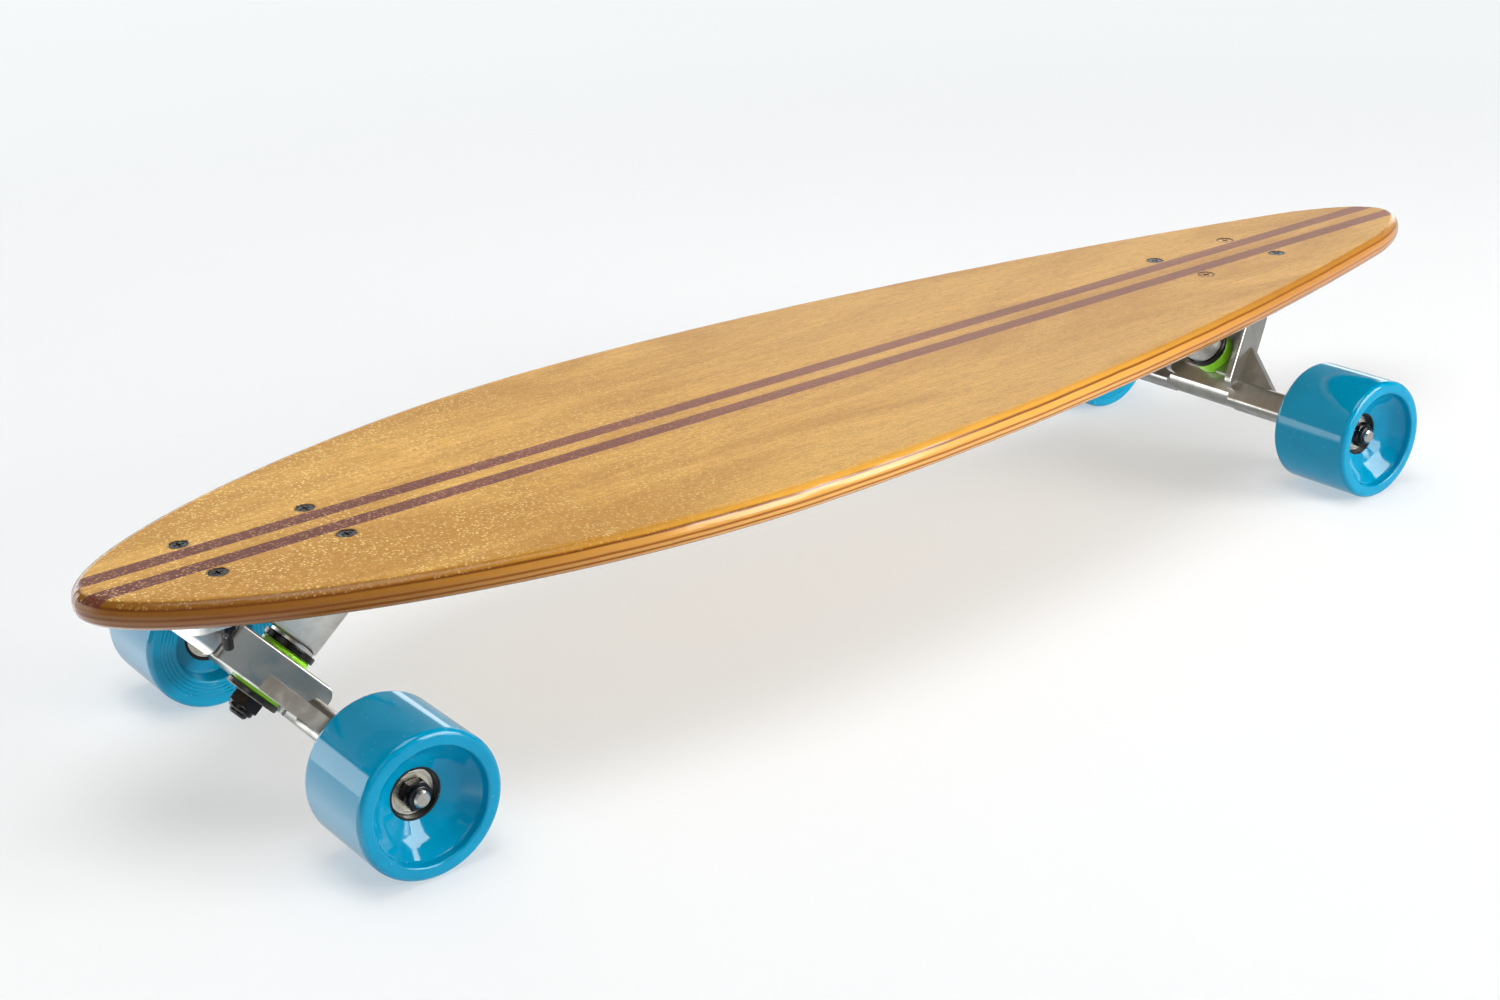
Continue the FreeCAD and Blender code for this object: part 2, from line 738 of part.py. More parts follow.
def mirrored_pair(shape):
    """A piece on the +Y end of the axle and its twin on the -Y end."""
    twin = shape.copy()
    twin.rotate(ORIGIN, Z_AXIS, 180)
    return [shape, twin]


def axle_nuts():
    nut = aimed(lock_nut(axle_nut_across_flats, axle_nut_height, axle_diameter), Y_AXIS * nut_start, Y_AXIS)
    return Part.makeCompound(mirrored_pair(nut))


def stack_rings(outer_diameter, spans):
    """Rings on the axle at both ends of the truck, one for each (start, end) span."""
    rings = []
    for start, end in spans:
        rings += mirrored_pair(tube(axle_radius + axle_clearance, outer_diameter / 2, start, end))
    return Part.makeCompound(rings)


def speed_rings():
    return stack_rings(speed_ring_diameter, [(hanger_end, inner_bearing), (outer_ring, nut_start)])


def bearing_spacers():
    return stack_rings(spacer_diameter, [(spacer_start, outer_bearing)])


def raceway(middle):
    """Groove that the balls of one bearing run in."""
    ring = Part.makeTorus(ball_circle, ball_radius + ball_clearance, ORIGIN, Y_AXIS)
    ring.translate(Y_AXIS * middle)
    return ring


def bearing_inner_rings():
    rings = []
    for start in bearing_starts:
        ring = tube(axle_radius + axle_clearance, bearing_bore / 2 + bearing_inner_ring_wall,
                    start, start + bearing_width)
        rings += mirrored_pair(ring.cut(raceway(start + bearing_width / 2)))
    return Part.makeCompound(rings)


def bearing_outer_rings():
    rings = []
    for start in bearing_starts:
        inner = bearing_radius - bearing_outer_ring_wall
        ring = turned([(inner, start), (bearing_radius, start, bearing_edge_radius),
                       (bearing_radius, start + bearing_width, bearing_edge_radius),
                       (inner, start + bearing_width)])
        rings.append(ring.cut(raceway(start + bearing_width / 2)))
    return Part.makeCompound(rings)


def bearing_shields():
    discs = []
    inner = bearing_bore / 2 + bearing_inner_ring_wall + shield_clearance
    outer = bearing_radius - bearing_outer_ring_wall
    for start in bearing_starts:
        for low in (start + shield_inset, start + bearing_width - shield_inset - shield_thickness):
            discs.append(tube(inner, outer, low, low + shield_thickness))
    return Part.makeCompound(discs)


def bearing_balls():
    """Balls of both bearings, each set in the pockets of its cage."""
    pieces = []
    for start in bearing_starts:
        middle = start + bearing_width / 2
        cage = tube(ball_circle - cage_wall / 2, ball_circle + cage_wall / 2,
                    middle - cage_width / 2, middle + cage_width / 2)
        for index in range(ball_count):
            angle = 2 * math.pi * (index + 0.5) / ball_count
            place = flat(ball_circle * math.cos(angle), middle, ball_circle * math.sin(angle))
            pieces.append(Part.makeSphere(ball_radius, place))
            cage = cage.cut(rod(ball_radius + ball_clearance, Y_AXIS * middle, place * 2 - Y_AXIS * middle))
        pieces.append(cage)
    return Part.makeCompound(pieces)


def core_profile():
    """Outside of the core, a drum with sloped ends and a grip groove, as points from inside to outside."""
    outer = core_diameter / 2
    floor = dish_floor_diameter / 2
    groove = outer - core_groove_depth
    return [(floor, core_start), (outer, core_start + core_slope), (outer, spacer_start),
            (groove, spacer_start), (groove, outer_bearing), (outer, outer_bearing),
            (outer, outer_ring - core_slope), (floor, core_end)]


def wheel_core():
    """Hub with a seat for each bearing and a shoulder between them."""
    seat = bearing_radius
    shoulder = bearing_radius - bearing_outer_ring_wall
    inside = [(seat + core_mouth, core_end), (seat, outer_ring), (seat, outer_bearing),
              (shoulder, outer_bearing), (shoulder, spacer_start), (seat, spacer_start), (seat, core_start)]
    return turned(core_profile() + inside)


def face_rings():
    """Fine grooves round the inner face, as points from the smallest ring outwards."""
    points = []
    for index in range(face_ring_count):
        start = face_ring_diameter / 2 + index * face_ring_pitch
        points += [(start, wheel_inner), (start + face_ring_width / 2, wheel_inner + face_ring_depth),
                   (start + face_ring_width, wheel_inner)]
    return points


def wheel_tyre():
    """Urethane tyre: square lips, a recess inside and a deep dish outside, cast round the core."""
    lip = wheel_radius - wheel_lip_width
    recess = inner_recess_diameter / 2
    points = [(recess - inner_recess_draft, core_start, inner_edge_radius),
              (recess, wheel_inner, inner_edge_radius)]
    points += face_rings()
    points += [(wheel_radius, wheel_inner, wheel_edge_radius),
               (wheel_radius, wheel_outer, wheel_edge_radius), (lip, wheel_outer, dish_edge_radius),
               (lip - dish_wall_draft, wheel_outer - dish_wall_depth, dish_foot_radius),
               (dish_bowl_diameter / 2, wheel_outer - dish_bowl_depth, dish_bowl_radius)]
    return turned(points + core_profile()[::-1])


def main():
    os.makedirs("parts", exist_ok=True)
    nodes = deck_plies()
    bolt = deck_bolt()
    nut = lock_nut(bolt_nut_across_flats, bolt_nut_height, bolt_diameter)
    nut = aimed(nut, Z_AXIS * flange_underside, Z_AXIS * -1)
    bolts = {"deck_bolts_black": [], "deck_bolts_brass": []}
    nuts = []
    for truck_x in (nose_truck_x, tail_truck_x):
        places = bolt_places(truck_x)
        for index, place in enumerate(places):
            diagonal = truck_x > 0 and index in (0, 3)
            copy = bolt.copy()
            copy.translate(place)
            bolts["deck_bolts_brass" if diagonal else "deck_bolts_black"].append(copy)
            copy = nut.copy()
            copy.translate(place)
            nuts.append(copy)
    for name, pieces in bolts.items():
        nodes[name] = Part.makeCompound(pieces)
    nodes["deck_bolt_nuts"] = Part.makeCompound(nuts)

    riser = drill_bolts(mounting_plate(riser_margin, plate_top, riser_thickness))
    truck = {"riser_pad": riser, "baseplate": baseplate(), "pivot_cup": pivot_cup(), "kingpin": kingpin(),
             "kingpin_nut": kingpin_nut(), "boardside_washer": boardside_washer(),
             "roadside_washer": roadside_washer(), "boardside_bushing": boardside_bushing(),
             "roadside_bushing": roadside_bushing(), "hanger": hanger()}
    stack = {"axle": axle(), "axle_nuts": axle_nuts(), "speed_rings": speed_rings(),
             "bearing_spacers": bearing_spacers(), "bearing_inner_rings": bearing_inner_rings()}
    wheel = {"tyre": wheel_tyre(), "core": wheel_core(), "bearing_outer_rings": bearing_outer_rings(),
             "bearing_shields": bearing_shields(), "bearing_balls": bearing_balls()}
    for name, shape in stack.items():
        shape.translate(axle_centre)
        truck[name] = shape

    ends = {"nose": FreeCAD.Placement(flat(nose_truck_x, 0), FreeCAD.Rotation(Z_AXIS, 180)),
            "tail": FreeCAD.Placement(flat(tail_truck_x, 0), FreeCAD.Rotation(Z_AXIS, 0))}
    for end, placement in ends.items():
        for name, shape in truck.items():
            nodes[end + "_" + name] = shape.transformed(placement.toMatrix(), True)
        hub = placement.multVec(axle_centre)
        for side, turn in (("right", 0), ("left", 180)):
            spot = FreeCAD.Placement(hub, FreeCAD.Rotation(Z_AXIS, turn))
            for name, shape in wheel.items():
                nodes[end + "_" + side + "_" + name] = shape.transformed(spot.toMatrix(), True)

    for name, shape in nodes.items():
        shape.exportStep("parts/" + name + ".step")
    print(len(nodes), "nodes; deck top at", deck_top, "mm; kingpin centre", kingpin_centre)


main()
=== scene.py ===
# %% [markdown]
# # A pintail longboard
# The part is a longboard: a flat lacquered deck, two cast trucks and four urethane wheels. Its
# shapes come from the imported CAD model, which is loaded here as a fixed frame in metres. This
# lesson dresses that frame with procedural finishes, adds the small threads and clips that a maker
# would add last, and lights it like a studio shot.

# %% Load the frame
import math

import bpy
from mathutils import Matrix, Vector


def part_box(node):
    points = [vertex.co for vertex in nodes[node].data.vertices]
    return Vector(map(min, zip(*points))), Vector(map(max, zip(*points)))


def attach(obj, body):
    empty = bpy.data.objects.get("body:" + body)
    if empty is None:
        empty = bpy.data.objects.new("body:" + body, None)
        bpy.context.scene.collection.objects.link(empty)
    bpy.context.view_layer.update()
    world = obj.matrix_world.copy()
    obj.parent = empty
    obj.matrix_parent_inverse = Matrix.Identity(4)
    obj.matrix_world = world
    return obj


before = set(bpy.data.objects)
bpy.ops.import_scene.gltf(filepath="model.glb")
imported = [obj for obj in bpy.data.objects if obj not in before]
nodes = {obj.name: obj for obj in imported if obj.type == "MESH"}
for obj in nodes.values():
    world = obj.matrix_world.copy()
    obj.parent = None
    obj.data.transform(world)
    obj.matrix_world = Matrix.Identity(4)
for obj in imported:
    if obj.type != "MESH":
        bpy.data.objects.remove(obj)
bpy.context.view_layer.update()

scene = bpy.context.scene
scene.view_settings.view_transform = "Standard"

# %% [markdown]
# ## Camera
# The photograph looks down on the board from its near side and its nose. The place, the turn and
# the focal length were solved from the bolt heads, wheels and axle ends, so the camera is written
# as numbers. A matrix built from the view direction is clearer than three angles, because the small
# roll can be added to the level axes.

# %% Camera at the photograph's angle
eye = Vector((-0.73460, -0.88203, 0.50931))
azimuth, elevation, roll = math.radians(36.585), math.radians(22.287), math.radians(-2.49)
focal_length, film_width = 53.43, 36.0
ahead = Vector((math.sin(azimuth) * math.cos(elevation),
                math.cos(azimuth) * math.cos(elevation),
                -math.sin(elevation)))
level_right = ahead.cross(Vector((0, 0, 1))).normalized()
level_up = level_right.cross(ahead)
right = level_right * math.cos(roll) + level_up * math.sin(roll)
up = level_up * math.cos(roll) - level_right * math.sin(roll)
lens = bpy.data.cameras.new("photo_camera")
lens.lens, lens.sensor_width, lens.sensor_fit = focal_length, film_width, "HORIZONTAL"
camera = bpy.data.objects.new("photo_camera", lens)
scene.collection.objects.link(camera)
facing = Matrix((right, up, -ahead)).transposed().to_4x4()
camera.matrix_world = Matrix.Translation(eye) @ facing
scene.camera = camera
print("camera at", tuple(round(v, 3) for v in eye))

# %% [markdown]
# ## Node helpers
# Every finish below is a small node tree. Writing `tree.nodes.new` for each node hides the idea, so
# these helpers add a node, set its values and wire its inputs in one line. Colours are written as
# screen values from 0 to 255.

# %% Node helpers: values
def paint(red, green, blue):
    """A screen colour as the linear colour that a socket takes."""
    parts = [c / 255 for c in (red, green, blue)]
    linear = [((c + 0.055) / 1.055) ** 2.4 if c > 0.04045 else c / 12.92 for c in parts]
    return tuple(linear) + (1.0,)


def add(tree, kind, inputs=None, **settings):
    """A node with its settings, and each input either wired from a socket or set to a value."""
    node = tree.nodes.new("ShaderNode" + kind)
    for key, value in settings.items():
        setattr(node, key, value)
    for key, value in (inputs or {}).items():
        if isinstance(value, bpy.types.NodeSocket):
            tree.links.new(value, node.inputs[key])
        else:
            node.inputs[key].default_value = value
    return node


def calc(tree, operation, first, second=0.0):
    """One Math node: an operation on one or two values."""
    return add(tree, "Math", {0: first, 1: second}, operation=operation).outputs[0]


def times(tree, first, second):
    return calc(tree, "MULTIPLY", first, second)


def span(tree, value, low, high, start=0.0, end=1.0):
    """A value eased from start to end while it goes from low to high."""
    inputs = {0: value, 1: low, 2: high, 3: start, 4: end}
    return add(tree, "MapRange", inputs, interpolation_type="SMOOTHSTEP").outputs[0]


def chosen(tree, factor, first, second):
    """The first value where the factor is 0, and the second where it is 1."""
    return add(tree, "Mix", {0: factor, 2: first, 3: second}).outputs[0]


def mixed(tree, factor, under, over):
    """The same for two colours."""
    return add(tree, "Mix", {0: factor, 6: under, 7: over}, data_type="RGBA").outputs[2]


print("value helpers ready")

# %% Node helpers: patterns
def surface(tree):
    return add(tree, "TexCoord").outputs["Object"]


def coordinate(tree, axis):
    """One coordinate of the object's own frame, in metres."""
    return add(tree, "SeparateXYZ", {0: surface(tree)}).outputs[axis]


def length(tree, vector):
    return add(tree, "VectorMath", {0: vector}, operation="LENGTH").outputs["Value"]


def stretched(tree, vector, long_scale, cross_scale):
    """Coordinates with one scale along the board and another across it."""
    scale = (long_scale, cross_scale, cross_scale)
    return add(tree, "VectorMath", {0: vector, 1: scale}, operation="MULTIPLY").outputs[0]


def noise(tree, vector, scale, detail=2.0, roughness=0.5, distortion=0.0):
    inputs = {"Vector": vector, "Scale": scale, "Detail": detail,
              "Roughness": roughness, "Distortion": distortion}
    return add(tree, "TexNoise", inputs).outputs[0]


def bump(tree, height, strength, distance):
    inputs = {"Height": height, "Strength": strength, "Distance": distance}
    return add(tree, "Bump", inputs).outputs[0]


print("pattern helpers ready")

# %% Node helpers: groups and materials
def group(name, inputs, outputs):
    """An empty shader group with its sockets, and the nodes that stand for them inside."""
    tree = bpy.data.node_groups.new(name, "ShaderNodeTree")
    for socket, value in inputs.items():
        entry = tree.interface.new_socket(socket, in_out="INPUT", socket_type="NodeSocketFloat")
        entry.default_value = value
    for socket, kind in outputs.items():
        tree.interface.new_socket(socket, in_out="OUTPUT", socket_type="NodeSocket" + kind)
    given = tree.nodes.new("NodeGroupInput").outputs
    return tree, given, tree.nodes.new("NodeGroupOutput").inputs


def effect(tree, shared, **values):
    """The outputs of a shared effect, placed in a material with its own values."""
    node = tree.nodes.new("ShaderNodeGroup")
    node.node_tree = shared
    for key, value in values.items():
        node.inputs[key].default_value = value
    return node.outputs


def finish(name, **constants):
    """A new material, its tree and its shader's inputs, with the constants set on its sockets."""
    material = bpy.data.materials.new(name)
    material.use_nodes = True
    shader = material.node_tree.nodes["Principled BSDF"]
    for key, value in constants.items():
        socket = key.replace("_", " ").title().replace("Ior", "IOR")
        shader.inputs[socket].default_value = value
    return material, material.node_tree, shader.inputs


print("group and material helpers ready")

# %% [markdown]
# ## Floor and light
# The board stands on a seamless white table in a bright studio. A broad panel overhead leaves the
# soft shade under the deck, a low softbox at the front right lights the faces of the wheels, and a
# panel behind fills the far side. Shine is set apart from light: three more softboxes show only in
# reflections, where they make the bright mark in each dish and the line along the rail. The table
# is so bright that it glows by itself, and in reflections most of all beyond the nose. Near the
# board the glow is weaker, so the shade stays. A lit backdrop gives the pale bands on the wheels,
# and the room above it is dark, so metal shows both.

# %% White floor
floor_size = 16.0
mirrored_floor, mirrored_patch = 0.55, 2.6
glow_for_light, glow_near, glow_far = 0.8, 0.45, 0.9
near_reach, far_reach = 0.7, 1.7
bpy.ops.object.select_all(action="DESELECT")
bpy.ops.mesh.primitive_plane_add(size=floor_size, location=(0, 0, 0))
floor = bpy.context.object
floor.name = "studio_floor"
paper, tree, shader = finish("white_paper", roughness=0.9, specular_ior_level=0.05)
fibres = noise(tree, surface(tree), 9.0, 3.0)
white = mixed(tree, fibres, paint(247, 248, 249), paint(251, 251, 252))
tree.links.new(white, shader["Base Color"])
rays = add(tree, "LightPath").outputs
beyond_nose = span(tree, coordinate(tree, "X"), -0.36, -0.44)
behind_front = span(tree, coordinate(tree, "Y"), -0.3, -0.12)
patch = times(tree, beyond_nose, behind_front)
mirrored = span(tree, patch, 0.0, 1.0, mirrored_floor, mirrored_patch)
strength = chosen(tree, rays["Is Glossy Ray"], 1.0, mirrored)
away = length(tree, surface(tree))
glow_seen = span(tree, away, near_reach, far_reach, glow_near, glow_far)
glow_share = chosen(tree, rays["Is Camera Ray"], glow_for_light, glow_seen)
glow = add(tree, "Emission", {"Color": paint(246, 249, 250), "Strength": strength}).outputs[0]
lit_paper = tree.nodes["Principled BSDF"].outputs[0]
blend = add(tree, "MixShader", {0: glow_share, 1: lit_paper, 2: glow})
tree.links.new(blend.outputs[0], tree.nodes["Material Output"].inputs["Surface"])
floor.data.materials.append(paper)
print("floor", tuple(round(v, 1) for v in floor.dimensions))

# %% Room with a lit backdrop
unlit_level, backdrop_level = 0.25, 4.8
air_for_light, air_seen = 0.5, 0.95
room = bpy.data.worlds.new("studio_room")
scene.world = room
room.use_nodes = True
tree = room.node_tree
tree.nodes.clear()
way = add(tree, "SeparateXYZ", {0: add(tree, "TexCoord").outputs["Generated"]}).outputs
wall = mixed(tree, span(tree, way["Z"], 0.3, 0.36), paint(240, 241, 242), paint(48, 50, 54))
low_behind = times(tree, span(tree, way["Y"], 0.2, 0.5), span(tree, way["Z"], 0.34, 0.29))
lit = times(tree, low_behind, span(tree, way["X"], -0.1, 0.5, 1.0, 0.55))
level = span(tree, lit, 0.0, 1.0, unlit_level, backdrop_level)
rays = add(tree, "LightPath").outputs
mirror = calc(tree, "MAXIMUM", rays["Is Glossy Ray"], rays["Is Transmission Ray"])
air_level = span(tree, rays["Is Camera Ray"], 0.0, 1.0, air_for_light, air_seen)
air = add(tree, "Background", {"Color": paint(236, 238, 242), "Strength": air_level})
back = add(tree, "Background", {"Color": wall, "Strength": level})
blend = add(tree, "MixShader", {0: mirror, 1: air.outputs[0], 2: back.outputs[0]})
tree.links.new(blend.outputs[0], add(tree, "OutputWorld").inputs["Surface"])
print("room", room.name)

# %% Softboxes
def softbox(name, place, target, width, height, power, tint):
    """A rectangular lamp that faces a point and is never seen by the camera itself."""
    lamp = bpy.data.lights.new(name, "AREA")
    lamp.shape, lamp.size, lamp.size_y = "RECTANGLE", width, height
    lamp.energy, lamp.color = power, tint[:3]
    holder = bpy.data.objects.new(name, lamp)
    scene.collection.objects.link(holder)
    holder.location = place
    aim = Vector(target) - Vector(place)
    holder.rotation_euler = aim.to_track_quat("-Z", "Y").to_euler()
    holder.visible_camera = False
    return holder


daylight = paint(255, 253, 249)
lamps = {  # place, target, width, height, power
    "front_softbox": ((1.45, -1.95, 0.6), (0.3, -0.1, 0.07), 1.2, 0.7, 15.0),
    "front_shine": ((0.78, -1.32, 0.9), (-0.1, -0.1, 0.08), 1.25, 0.85, 36.0),
    "rail_shine": ((0.7, -1.55, 0.27), (-0.05, -0.12, 0.11), 0.9, 0.36, 7.5),
    "top_panel": ((-0.35, -0.1, 2.4), (-0.1, 0.0, 0.0), 1.6, 1.2, 27.0),
    "back_panel": ((0.7, 3.4, 0.9), (0.2, 0.0, 0.25), 3.6, 1.0, 34.0),
    "left_softbox": ((-1.35, -0.75, 1.15), (-0.35, 0.0, 0.05), 0.8, 0.8, 2.0),
}
holders = {name: softbox(name, *values, daylight) for name, values in lamps.items()}
holders["front_softbox"].data.spread = math.radians(90)
for name in ("front_shine", "rail_shine", "left_softbox"):
    holders[name].visible_diffuse = False
for name in ("front_softbox", "back_panel"):
    holders[name].visible_glossy = False
print("lamps:", list(holders))

# %% [markdown]
# ## Wood figure
# The face veneer was sliced along a log, so its figure runs with the board: broad soft bands, fine
# streaks and short open pores. Noise that is stretched along X gives all three. The streaks need a
# far finer scale across than along, so each layer multiplies the object's coordinates by its own
# long and cross scale.

# %% Shared effect: wood figure
wood_figure, given, made = group("wood_figure", {"Across": 1.0},
                                 {"Figure": "Float", "Streaks": "Float", "Pores": "Float"})
sides = {0: 1.0, 1: given["Across"], 2: given["Across"]}
stretch = add(wood_figure, "CombineXYZ", sides).outputs[0]
along = add(wood_figure, "VectorMath", {0: surface(wood_figure), 1: stretch},
            operation="MULTIPLY").outputs[0]
bands = noise(wood_figure, stretched(wood_figure, along, 5.0, 21.0), 1.0, 4.0, 0.55, 0.7)
streaks = noise(wood_figure, stretched(wood_figure, along, 26.0, 760.0), 1.0, 3.0, 0.6, 0.3)
pores = noise(wood_figure, stretched(wood_figure, along, 190.0, 1900.0), 1.0, 1.0, 0.5)
wood_figure.links.new(span(wood_figure, bands, 0.32, 0.68), made["Figure"])
wood_figure.links.new(span(wood_figure, streaks, 0.3, 0.72), made["Streaks"])
wood_figure.links.new(span(wood_figure, pores, 0.6, 0.7), made["Pores"])
print("group", wood_figure.name)

# %% [markdown]
# ## Clear grit
# Instead of black grip tape this deck has clear grit cast into its top coat. Each grain is about a
# millimetre, and its glint is painted into the colour: a random brightness for each grain stands in
# for how it faces the light. A Voronoi texture gives scattered cells, a random share of them
# carries a grain, and the same cells give the relief, so the painted glint and the bump agree.

# %% Shared effect: clear grit
clear_grit, given, made = group("clear_grit", {"Cells": 680.0, "Share": 0.7},
                                {"Flash": "Float", "Relief": "Float"})
cell_inputs = {"Vector": surface(clear_grit), "Scale": given["Cells"]}
cells = add(clear_grit, "TexVoronoi", cell_inputs).outputs
chance = add(clear_grit, "SeparateColor", {0: cells["Color"]}).outputs
grain = span(clear_grit, cells["Distance"], 0.58, 0.25)
picked = calc(clear_grit, "LESS_THAN", chance["Red"], given["Share"])
# A random brightness for each grain: a painted glint.
painted_glint = span(clear_grit, chance["Green"], 0.0, 1.0, 0.05, 1.0)
flash = times(clear_grit, times(clear_grit, grain, picked), painted_glint)
clear_grit.links.new(flash, made["Flash"])
clear_grit.links.new(grain, made["Relief"])
print("group", clear_grit.name)

# %% [markdown]
# ## Rail and bolt holes
# The rail is where the pressed plies come to the light: amber bands with brown glue lines, sealed
# under gloss lacquer. Height alone tells the plies apart, so a colour ramp on Z draws them, and a
# little noise keeps the lines from being ruled. Towards the tail the rail turns a deeper amber.
# Towards the nose it is worn dull, and its colour is darkened to brown, a painted shade. Round each
# bolt the lacquer is broken and dirty. Folding the coordinates about each truck makes one corner
# stand for all eight holes.

# %% Shared effect: rail of the pressed deck
board_low, board_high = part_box("deck_bottom_veneer")[0].z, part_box("deck_top_veneer")[1].z
rail_stops = [  # share of the height, screen colour
    (0.0, (150, 96, 44)), (0.05, (214, 154, 82)), (0.1, (176, 108, 38)),
    (0.14, (218, 160, 80)), (0.21, (226, 168, 84)), (0.25, (140, 76, 16)),
    (0.29, (148, 82, 20)), (0.33, (228, 170, 86)), (0.41, (230, 172, 88)),
    (0.45, (146, 80, 18)), (0.49, (160, 92, 26)), (0.54, (230, 168, 74)),
    (0.74, (232, 168, 70)), (0.775, (112, 56, 8)), (0.8, (92, 44, 6)),
    (0.825, (164, 96, 20)), (0.86, (226, 164, 58)), (1.0, (220, 160, 66)),
]
waver_height = 0.05
edge_start, edge_full = 0.00005, 0.0006
deck_rail, _, made = group("deck_rail", {},
                           {"Colour": "Color", "Edge": "Float", "Share": "Float"})
height = coordinate(deck_rail, "Z")
waver = noise(deck_rail, stretched(deck_rail, surface(deck_rail), 30.0, 30.0), 1.0, 3.0)
level_share = add(deck_rail, "MapRange", {0: height, 1: board_low, 2: board_high}).outputs[0]
shift = times(deck_rail, calc(deck_rail, "SUBTRACT", waver, 0.5), waver_height)
share = calc(deck_rail, "ADD", level_share, shift)
ramp = add(deck_rail, "ValToRGB", {0: share})
while len(ramp.color_ramp.elements) < len(rail_stops):
    ramp.color_ramp.elements.new(0.5)
for element, (position, colour) in zip(ramp.color_ramp.elements, rail_stops):
    element.position = position
    element.color = paint(*colour)
below_top = span(deck_rail, height, board_high - edge_start, board_high - edge_full)
above_bottom = span(deck_rail, height, board_low + edge_start, board_low + edge_full)
station = coordinate(deck_rail, "X")
deeper = span(deck_rail, station, 0.02, 0.3, 0.0, 0.6)
# Towards the nose the rail is darkened to brown: a painted shade.
painted_nose_shade = span(deck_rail, station, -0.4, -0.1, 0.84, 0.0)
amber = mixed(deck_rail, deeper, ramp.outputs[0], paint(150, 84, 10))
deck_rail.links.new(mixed(deck_rail, painted_nose_shade, amber, paint(94, 43, 5)), made["Colour"])
deck_rail.links.new(share, made["Share"])
deck_rail.links.new(times(deck_rail, below_top, above_bottom), made["Edge"])
print("group", deck_rail.name, "from", round(board_low, 4), "to", round(board_high, 4))

# %% Shared effect: worn lacquer round the bolts
nose_middle = sum((c.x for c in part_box("nose_riser_pad")), 0.0) / 2
tail_middle = sum((c.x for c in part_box("tail_riser_pad")), 0.0) / 2
half_pattern = (0.03175, 0.0206375)
stain_reach, stain_full, ragged_reach = 0.0076, 0.0058, 0.0032
bolt_rims, _, made = group("bolt_rims", {}, {"Stain": "Float"})
board_x, board_y = coordinate(bolt_rims, "X"), coordinate(bolt_rims, "Y")
to_nose = calc(bolt_rims, "ABSOLUTE", calc(bolt_rims, "SUBTRACT", board_x, nose_middle))
to_tail = calc(bolt_rims, "ABSOLUTE", calc(bolt_rims, "SUBTRACT", board_x, tail_middle))
to_truck = calc(bolt_rims, "MINIMUM", to_nose, to_tail)
off_x = calc(bolt_rims, "SUBTRACT", to_truck, half_pattern[0])
off_y = calc(bolt_rims, "SUBTRACT", calc(bolt_rims, "ABSOLUTE", board_y), half_pattern[1])
corner = add(bolt_rims, "CombineXYZ", {0: off_x, 1: off_y}).outputs[0]
ragged = times(bolt_rims, noise(bolt_rims, surface(bolt_rims), 420.0, 3.0), ragged_reach)
reach = calc(bolt_rims, "ADD", length(bolt_rims, corner), ragged)
bolt_rims.links.new(span(bolt_rims, reach, stain_reach, stain_full), made["Stain"])
print("group", bolt_rims.name, "about", round(nose_middle, 3), round(tail_middle, 3))

# %% [markdown]
# ## Lacquered veneers
# The honey face, the red-brown stripes, the plies and the underside share one recipe with different
# colours: figure, streaks and pores darken the wood, the rail takes over at the edge, worn lacquer
# darkens the bolt holes, and pale grit with a painted glint goes on top. The grit lies thickest at
# the nose and thins out towards the tail, where the face is painted paler, a painted sheen. The
# rail is glossy and the gritty face is not, so roughness and coat follow the same masks.

# %% Material recipe: veneer under lacquer
def veneer(name, light, dark, pore, flake=None, across=1.0, edge_top=1.1, nose_darkening=0.0):
    material, tree, shader = finish(name, coat_roughness=0.12, coat_ior=1.5,
                                    specular_ior_level=0.17)
    station = coordinate(tree, "X")
    wood = effect(tree, wood_figure, Across=across)
    blotches = noise(tree, stretched(tree, surface(tree), 160.0, 420.0), 1.0, 3.0, 0.65)
    colour = mixed(tree, wood["Figure"], light, dark)
    colour = mixed(tree, times(tree, wood["Streaks"], 0.5), colour, dark)
    colour = mixed(tree, times(tree, span(tree, blotches, 0.4, 0.75), 0.3), colour, pore)
    colour = mixed(tree, times(tree, wood["Pores"], 0.45), colour, pore)
    # The colour is made darker towards the nose.
    if nose_darkening:
        colour = mixed(tree, span(tree, station, -0.4, -0.1, nose_darkening, 0.0), colour, pore)
    if flake:
        # Towards the tail the gritty face is painted paler: a painted sheen.
        painted_sheen = span(tree, station, -0.3, 0.1, 0.0, 0.2)
        colour = mixed(tree, painted_sheen, colour, paint(200, 178, 158))
    rail = effect(tree, deck_rail)
    below = span(tree, rail["Share"], edge_top, edge_top - 0.03)
    cover = times(tree, times(tree, rail["Edge"], below), 0.9)
    colour = mixed(tree, cover, colour, rail["Colour"])
    colour = mixed(tree, effect(tree, bolt_rims)["Stain"], colour, paint(58, 34, 20))
    relief = wood["Streaks"]
    if flake:
        grit = effect(tree, clear_grit)
        patches = span(tree, noise(tree, surface(tree), 26.0, 3.0), 0.3, 0.7, 0.35, 1.0)
        amount = times(tree, span(tree, station, -0.38, 0.02, 0.9, 0.14), patches)
        amount = times(tree, amount, span(tree, rail["Edge"], 0.0, 1.0, 1.0, 0.25))
        # The grains are mixed in pale, brightest where their painted glint is strong.
        colour = mixed(tree, times(tree, grit["Flash"], amount), colour, flake)
        relief = calc(tree, "ADD", times(tree, relief, 0.25), grit["Relief"])
    polish = span(tree, station, -0.36, -0.08, 0.12, 0.9)
    tree.links.new(colour, shader["Base Color"])
    tree.links.new(span(tree, rail["Edge"], 0.0, 1.0, 0.52, 0.16), shader["Roughness"])
    tree.links.new(times(tree, rail["Edge"], polish), shader["Coat Weight"])
    tree.links.new(bump(tree, relief, 0.22, 0.00035), shader["Normal"])
    return material


